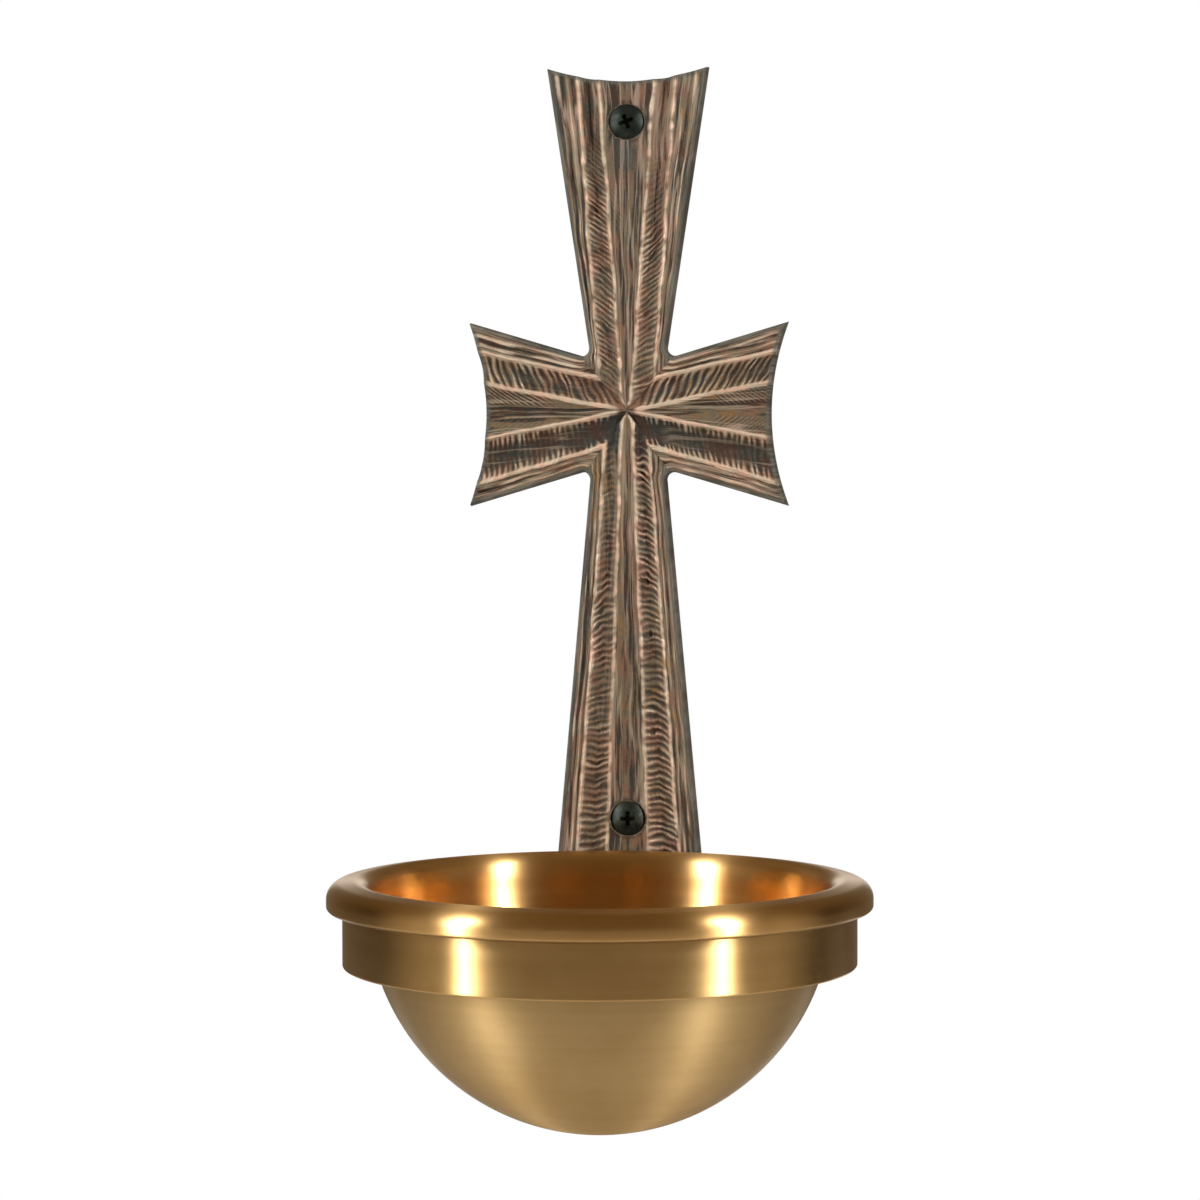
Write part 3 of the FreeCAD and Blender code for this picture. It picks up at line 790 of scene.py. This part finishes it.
def drop_sides(bm):
    """Drafted sides and flat back, from the outline of the front."""
    loop = [edge for edge in bm.edges if edge.is_boundary]
    outwards = {}
    for edge in loop:
        along = edge.verts[1].co - edge.verts[0].co
        along.y = 0
        square = Vector((along.z, 0, -along.x)).normalized()
        inside = edge.link_faces[0].calc_center_median() - edge.verts[0].co
        if square.dot(inside) > 0:
            square.negate()
        for vert in edge.verts:
            outwards.setdefault(vert, []).append(square)
    moves = {}
    for vert, (first, second) in outwards.items():
        moves[vert.co.to_tuple(7)] = (first + second) / (1 + first.dot(second))
    reached = 0.0
    for out, back in SIDE_STEPS:
        made = bmesh.ops.extrude_edge_only(bm, edges=loop)["geom"]
        loop = [part for part in made if isinstance(part, bmesh.types.BMEdge)]
        verts = [part for part in made if isinstance(part, bmesh.types.BMVert)]
        shifted = {}
        for vert in verts:
            move = moves[vert.co.to_tuple(7)]
            vert.co += move * (out - reached) * MM
            vert.co.y = 0.0 if back is None else vert.co.y + back * MM
            shifted[vert.co.to_tuple(7)] = move
        moves, reached = shifted, out
    bmesh.ops.triangle_fill(bm, use_beauty=True, edges=loop)


def drill(mouth, hole, above, below, steps=64):
    """Countersunk drill, upright: the mouth's edge at height 0."""
    return turned([(0, above), (mouth, above), (mouth, 0), (hole, hole - mouth),
                   (hole, -below), (0, -below)], Vector((0, 0, 0)), steps, closed=False)


def carve(bm, screws):
    """Sink the relief and the strokes into the flat front, and keep what the finish reads: rubbed
    metal, patina with painted shade, outline and carving.
    """
    rubbed, sunk, outline, carved = [
        bm.verts.layers.float.new(name) for name in ("rubbed", "sunk", "outline", "carved")]
    grain = bm.verts.layers.float_vector.new("grain")
    for vert in bm.verts:
        x, z = vert.co.x / MM, vert.co.z / MM
        relief, cut_depth, rub, patina_and_shade_amount, near_outline, vert[carved], vert[grain] = chase(x, z)
        place = Vector((x * MM + APEX.x, z * MM + APEX.z))
        near_screw = min((place - screw).length for screw in screws) / MM
        clear = smoothstep(*SCREW_CLEARING, near_screw)
        vert[rubbed] = max(0.0, min(1.0, rub * (0.5 + 0.5 * clear)))
        stain = Vector((place.x, place.y + STAIN_DROP)) - screws[0]
        stained = math.exp(-(stain.x / STAIN_WIDTH) ** 2 - (stain.y / STAIN_LENGTH) ** 2)
        patina_and_shade_amount += 0.8 * stained
        vert[sunk] = max(0.0, min(1.0, patina_and_shade_amount + 0.35 * (1 - clear)))
        vert[outline] = max(near_outline, 0.75 * stained)
        sway = SWAY * (1 - near_outline) * clear
        across, up = x * 0.11, z * 0.11
        vert.co = APEX + Vector((x + sway * wander(across, up, 1.7), relief + cut_depth * clear,
                                 z + sway * wander(across, up, 8.2))) * MM
    for vert in bm.verts:
        if vert.is_boundary:
            vert[outline] = 1.0


def cross_drills(screws):
    """Drills of the wall screws, from the front, and of the saddle's screws, from the back."""
    drills = []
    for screw in screws:
        place = Vector((screw.x, CROSS_FRONT + WALL_SCREW_SUNK, screw.y))
        tool = drill(WALL_SCREW_MOUTH, WALL_SCREW_HOLE, DRILL_ABOVE, DRILL_BELOW)
        drills.append(lay(tool, place, 1))
    low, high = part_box("saddle_screws")
    for x in (low.x + SADDLE_SCREW_HEAD, high.x - SADDLE_SCREW_HEAD):
        place = Vector((x, high.y, (low.z + high.z) / 2))
        tool = drill(SADDLE_SCREW_MOUTH, SADDLE_SCREW_HOLE, DRILL_ABOVE, DRILL_BELOW)
        drills.append(lay(tool, place, -1))
    return drills


def add_pad(piece):
    """The flat pad on the front of the cross that the saddle lies against."""
    pad = bmesh.new()
    bmesh.ops.create_cube(pad, size=1.0)
    low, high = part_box("saddle")
    size, middle = high - low, (low + high) / 2
    half_depth = PAD_DEPTH / 2
    bmesh.ops.scale(pad, verts=pad.verts,
                    vec=(size.x + PAD_MARGIN, PAD_DEPTH, size.z + PAD_MARGIN))
    bmesh.ops.translate(pad, verts=pad.verts, vec=(0, CROSS_FRONT + half_depth, middle.z))
    edges = [edge for edge in pad.edges if edge.verts[0].co.y < CROSS_FRONT + half_depth]
    bmesh.ops.bevel(pad, geom=edges, offset=PAD_BEVEL, segments=3, profile=0.5,
                    affect="EDGES", material=-1)
    pad.from_mesh(piece.data)
    pad.to_mesh(piece.data)
    pad.free()


def carved_cross():
    """The cross: its relief, the graver's strokes, its drilled holes and the saddle's pad."""
    bm = bmesh.new()
    lay_front(bm)
    screws = [screw_axis(node) for node in ("upper_wall_screw", "lower_wall_screw")]
    carve(bm, screws)
    drop_sides(bm)
    bmesh.ops.recalc_face_normals(bm, faces=bm.faces)
    piece = object_from(bm, "carved_cross", "wall_part")
    cut(piece, cross_drills(screws))
    add_pad(piece)
    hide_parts("cross_plate")
    shade(piece, 45)
    piece.data.materials.clear()
    piece.data.materials.append(antique_bronze())
    piece.data.materials.append(cast_bronze())
    for face in piece.data.polygons:
        face.material_index = 1 if face.normal.y > 0.9 else 0


def screw_axis(node):
    """Middle of a wall screw, seen from the front."""
    low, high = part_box(node)
    return Vector(((low.x + high.x) / 2, (low.z + high.z) / 2))


# ---------------------------------------------------------------- bowl and ring
def turned_bowl(material, round_material):
    """The loose bowl: round bottom, heavy rim with a soft shoulder and a round lip."""
    centre = bowl_low.z + BOWL_SPHERE
    inside = BOWL_SPHERE - BOWL_WALL
    shoulder, lip, lip_in, foot, slope = 4.2 * MM, 4.0 * MM, 7.2 * MM, 0.9 * MM, 8
    lip_at = Vector((RIM_RADIUS - lip_in, CREST_Z - lip))
    apart = lip_in - shoulder
    tilt = math.radians(slope)
    lower = (shoulder - lip + apart * math.sin(tilt)) / math.cos(tilt)
    wall_top = Vector((inside, centre))
    to_wall = wall_top - lip_at
    lip_end = 360 + math.degrees(math.atan2(to_wall.y, to_wall.x) - math.acos(lip / to_wall.length))
    meets = math.degrees(math.asin((RIM_Z - centre) / BOWL_SPHERE))
    points = (arc((0, centre), BOWL_SPHERE, -90, meets, BOWL_STEPS)
              + arc((RIM_RADIUS - foot, RIM_Z + foot), foot, -90, 0, 6)
              + arc(lip_at + Vector((apart, -lower)), shoulder, 0, 90 - slope, 18)
              + arc(lip_at, lip, 90 - slope, lip_end, 18)
              + arc((0, centre), inside, 0, -90, BOWL_STEPS))
    points[0] = (0, points[0][1])
    points[-1] = (0, points[-1][1])
    bm = turned(points, BOWL_AXIS, TURNED_STEPS)
    middle = Vector((0, BOWL_AXIS.y, centre))
    for face in bm.faces:
        place = face.calc_center_median() - middle
        below = place.z < RIM_Z - centre
        face.material_index = 1 if below and place.length > BOWL_SPHERE - BOWL_WALL / 2 else 0
    piece = object_from(bm, "turned_bowl", "loose_bowl")
    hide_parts("bowl")
    shade(piece, 40)
    piece.data.materials.append(material)
    piece.data.materials.append(round_material)


def turned_ring(material):
    """The band that carries the bowl, with softly broken edges and its screw hole."""
    edge = 0.5 * MM
    top, bottom = ring_high.z, ring_low.z
    straight = edge + 0.25 * MM
    points = (arc((RING_RADIUS - edge, bottom + edge), edge, -90, 0, 6)
              + [(RING_RADIUS, bottom + straight), (RING_RADIUS, top - straight)]
              + arc((RING_RADIUS - edge, top - edge), edge, 0, 90, 6)
              + arc((RING_BORE + edge, top - edge), edge, 90, 180, 6)
              + [(RING_BORE, top - straight), (RING_BORE, bottom + straight)]
              + arc((RING_BORE + edge, bottom + edge), edge, 180, 270, 6))
    bm = turned(points, BOWL_AXIS, TURNED_STEPS)
    piece = object_from(bm, "turned_ring", "wall_part")
    low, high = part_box("ring_screw")
    tool = drill(RING_SCREW_HEAD, RING_SCREW_HOLE, RING_DRILL, RING_DRILL, SCREW_STEPS)
    cut(piece, [lay(tool, Vector((0, low.y, (low.z + high.z) / 2)), 1)])
    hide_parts("bowl_ring")
    shade(piece, 40)
    piece.data.materials.clear()
    piece.data.materials.append(material)


# ---------------------------------------------------------------------- screws
# a No. 10 wood screw from its core out, and the blades of its recess: width,
# thickness and height at their two ends
HEAD_R = 4.75 * MM
SHANK_R = 2.4 * MM
CORE_R = 1.65 * MM
THREAD_R = 2.35 * MM
DOME = 1.5 * MM
THREAD_PITCH = 2.1 * MM
THREAD_STEPS = 28
THREAD_HALF = 0.5 * MM
TAPER_LENGTH = 5.5 * MM
THREAD_STOP = 1.5 * MM
NOSE_LENGTH = 1.2 * MM
POINT_LENGTH = 5 * MM
NECK_LENGTH = 0.6 * MM
BLADE_TOP = (6.2 * MM, 1.4 * MM, DOME + 2.0 * MM)
BLADE_TIP = (2.4 * MM, 0.8 * MM, DOME - 2.2 * MM)


def recess_blade(turn):
    """Tapered blade, two of which cut the cross recess into an upright head."""
    bm = bmesh.new()
    bmesh.ops.create_cube(bm, size=1.0)
    for vert in bm.verts:
        wide, thick, height = BLADE_TIP if vert.co.z < 0 else BLADE_TOP
        vert.co.x *= wide
        vert.co.y *= thick
        vert.co.z = height
    bmesh.ops.rotate(bm, verts=bm.verts, cent=(0, 0, 0),
                     matrix=Matrix.Rotation(math.radians(turn), 3, "Z"))
    bmesh.ops.recalc_face_normals(bm, faces=bm.faces)
    return bm


def rolled_thread(end, length):
    """Three-cornered ridge wound about an upright core, tapering to the point."""
    turns = length / THREAD_PITCH
    bm = bmesh.new()
    corners = [bm.verts.new((CORE_R * 0.96, 0, end + 1.0 * MM + h))
               for h in (-THREAD_HALF, 0.0, THREAD_HALF)]
    corners[1].co.x = THREAD_R
    chain = [bm.edges.new(pair) for pair in zip(corners, corners[1:])]
    chain.append(bm.edges.new((corners[2], corners[0])))
    bmesh.ops.spin(bm, geom=corners + chain, cent=(0, 0, 0), axis=UP,
                   dvec=(0, 0, THREAD_PITCH / THREAD_STEPS), angle=2 * math.pi * turns,
                   steps=int(turns * THREAD_STEPS), use_merge=False, use_duplicate=False)
    bmesh.ops.holes_fill(bm, edges=bm.edges, sides=3)
    for vert in bm.verts:
        taper = min(1.0, max(0.12, (vert.co.z - end) / TAPER_LENGTH))
        vert.co.x *= taper
        vert.co.y *= taper
    return bm


def wall_screw(node, turn, material):
    """Oval-head wood screw with a cross recess and a rolled thread."""
    axis = screw_axis(node)
    low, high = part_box(node)
    head_y = low.y + DOME
    dome_r = (HEAD_R ** 2 + DOME ** 2) / (2 * DOME)
    half = math.degrees(math.asin(HEAD_R / dome_r))
    top = arc((0, DOME - dome_r), dome_r, 90 - half, 90, 14)
    end = head_y - high.y
    points = [(0, end), (CORE_R * 0.25, end + NOSE_LENGTH), (CORE_R, end + POINT_LENGTH),
              (CORE_R, head_y), (SHANK_R, head_y + NECK_LENGTH), (SHANK_R, SHANK_R - HEAD_R),
              (HEAD_R, 0)] + top[1:]
    points[-1] = (0, DOME)
    bm = turned(points, Vector((0, 0, 0)), SCREW_STEPS, closed=False)
    piece = object_from(bm, node + "_turned", "wall_part")
    for blade_turn in (turn, turn + 90):
        cut(piece, [recess_blade(blade_turn)])
    thread = rolled_thread(end, head_y - end - THREAD_STOP)
    thread.from_mesh(piece.data)
    lay(thread, Vector((axis.x, head_y, axis.y)), 1)
    thread.to_mesh(piece.data)
    thread.free()
    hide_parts(node)
    shade(piece, 35)
    piece.data.materials.clear()
    piece.data.materials.append(material)


# ------------------------------------------------------------- camera and light
CAMERA_AZIMUTH = 5.914
CAMERA_ELEVATION = 2.581
CAMERA_ROLL = -0.146
CAMERA_DISTANCE = 1.0
CAMERA_TARGET = Vector((-0.0042, -0.040, -0.0339))
FOCAL_PIXELS = 3748.2
FRAME_PIXELS = 1200
SENSOR = 36.0
FLOOR_Z = -0.28
FLOOR_RADIUS = 0.52
FLOOR_RUN_OUT = (0.24, 0.38)
FLOOR_BEHIND = (0.22, 0.38)
LAMPS_AIM_Z = -0.03


def add_camera():
    """Camera a little above the bowl and to its right, with a long lens."""
    azimuth, elevation = math.radians(CAMERA_AZIMUTH), math.radians(CAMERA_ELEVATION)
    back = Vector((math.sin(azimuth) * math.cos(elevation),
                   -math.cos(azimuth) * math.cos(elevation), math.sin(elevation)))
    data = bpy.data.cameras.new("camera")
    data.sensor_width = SENSOR
    data.lens = FOCAL_PIXELS / FRAME_PIXELS * SENSOR
    data.clip_start, data.clip_end = 0.05, 50
    camera = bpy.data.objects.new("camera", data)
    bpy.context.scene.collection.objects.link(camera)
    camera.location = CAMERA_TARGET + back * CAMERA_DISTANCE
    aim = (-back).to_track_quat("-Z", "Y").to_matrix()
    camera.rotation_euler = (aim @ Matrix.Rotation(math.radians(CAMERA_ROLL), 3, "Z")).to_euler()
    bpy.context.scene.camera = camera


def add_lamp(name, azimuth, elevation, distance, width, height, watts):
    """A rectangular soft lamp that faces the bowl; azimuth 0 is straight in front."""
    a, e = math.radians(azimuth), math.radians(elevation)
    way = Vector((math.sin(a) * math.cos(e), -math.cos(a) * math.cos(e), math.sin(e)))
    data = bpy.data.lights.new(name, "AREA")
    data.shape = "RECTANGLE"
    data.size, data.size_y = width, height
    data.energy = watts
    lamp = bpy.data.objects.new(name, data)
    bpy.context.scene.collection.objects.link(lamp)
    lamp.location = Vector((0, BOWL_AXIS.y, LAMPS_AIM_Z)) + way * distance
    lamp.rotation_euler = (-way).to_track_quat("-Z", "Y").to_euler()
    lamp.visible_camera = False
    return lamp


def add_world():
    """A white backdrop behind the stoup and a dim warm room in front of it."""
    world = bpy.data.worlds.new("room")
    bpy.context.scene.world = world
    tree = Tree(world)
    way = tree.node("ShaderNodeTexCoord", output=0)
    x, y, z = tree.split(way)
    rays = tree.node("ShaderNodeLightPath")
    eye = Socket(tree, rays.out.node.outputs["Is Camera Ray"])
    front = math.radians(CAMERA_AZIMUTH)
    towards = (x * math.sin(front) - y * math.cos(front)) * 0.5 + 0.5
    round_light = tree.node("ShaderNodeValToRGB", {"stops": [
        (0.0, (1.0, 1.0, 1.0)), (0.003, (1.0, 1.0, 1.0)), (0.014, (0.16, 0.135, 0.10)),
        (0.12, (0.10, 0.075, 0.045)), (0.34, (0.02, 0.013, 0.006)), (0.46, (0.18, 0.14, 0.10)),
        (0.56, (0.32, 0.27, 0.21)), (0.72, (0.12, 0.085, 0.05)), (1.0, (0.085, 0.052, 0.025))]},
        [towards])
    ceiling = tree.mix(z.between(0.20, 0.70), round_light, (0.14, 0.095, 0.05))
    room = tree.mix((0 - z).between(0.2, 0.6), ceiling, (0.10, 0.085, 0.06))
    colour = tree.mix(eye, room, (1, 1, 1))
    light = tree.node("ShaderNodeBackground", None, {"Color": colour, "Strength": 1.0})
    tree.node("ShaderNodeOutputWorld", None, {"Surface": light})


def add_stage():
    """Pale floor, a strip lamp on either side and a soft lamp above."""
    bm = bmesh.new()
    bmesh.ops.create_circle(bm, cap_ends=True, segments=96, radius=FLOOR_RADIUS)
    bmesh.ops.translate(bm, verts=bm.verts, vec=(0, BOWL_AXIS.y, FLOOR_Z))
    mesh = bpy.data.meshes.new("floor")
    bm.to_mesh(mesh)
    bm.free()
    floor = bpy.data.objects.new("floor", mesh)
    bpy.context.scene.collection.objects.link(floor)
    floor.data.materials.append(floor_paint())
    add_lamp("left_strip", azimuth=-54.5, elevation=15, distance=1.4,
             width=0.11, height=1.05, watts=14.5)
    add_lamp("right_strip", azimuth=60, elevation=15, distance=1.4,
             width=0.12, height=1.05, watts=13.5)
    top = add_lamp("top_soft", azimuth=4, elevation=62, distance=1.2,
                   width=0.8, height=0.5, watts=4)
    top.visible_glossy = False
    bpy.context.scene.view_settings.view_transform = "Standard"


# -------------------------------------------------------------------- assembly
satin = turned_bronze("satin_bronze", (0.71, 0.465, 0.19), 0.325)
# the rim and inside of the bowl take a lighter copy of its bronze than the round bottom: painted
# light
lit_bowl_metal = turned_bronze("bowl_bronze", (0.90, 0.57, 0.23), 0.315)
round_metal = turned_bronze("bowl_round_bronze", (0.64, 0.445, 0.20), 0.50, 0.84)
steel = black_screw_steel()
brass = screw_brass()

carved_cross()
turned_bowl(lit_bowl_metal, round_metal)
turned_ring(satin)
wall_screw("upper_wall_screw", 20, steel)
wall_screw("lower_wall_screw", 0, steel)
for node, material in (("saddle", satin), ("saddle_screws", brass), ("ring_screw", brass)):
    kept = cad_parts[node]
    kept.data.materials.clear()
    kept.data.materials.append(material)

add_world()
add_stage()
add_camera()
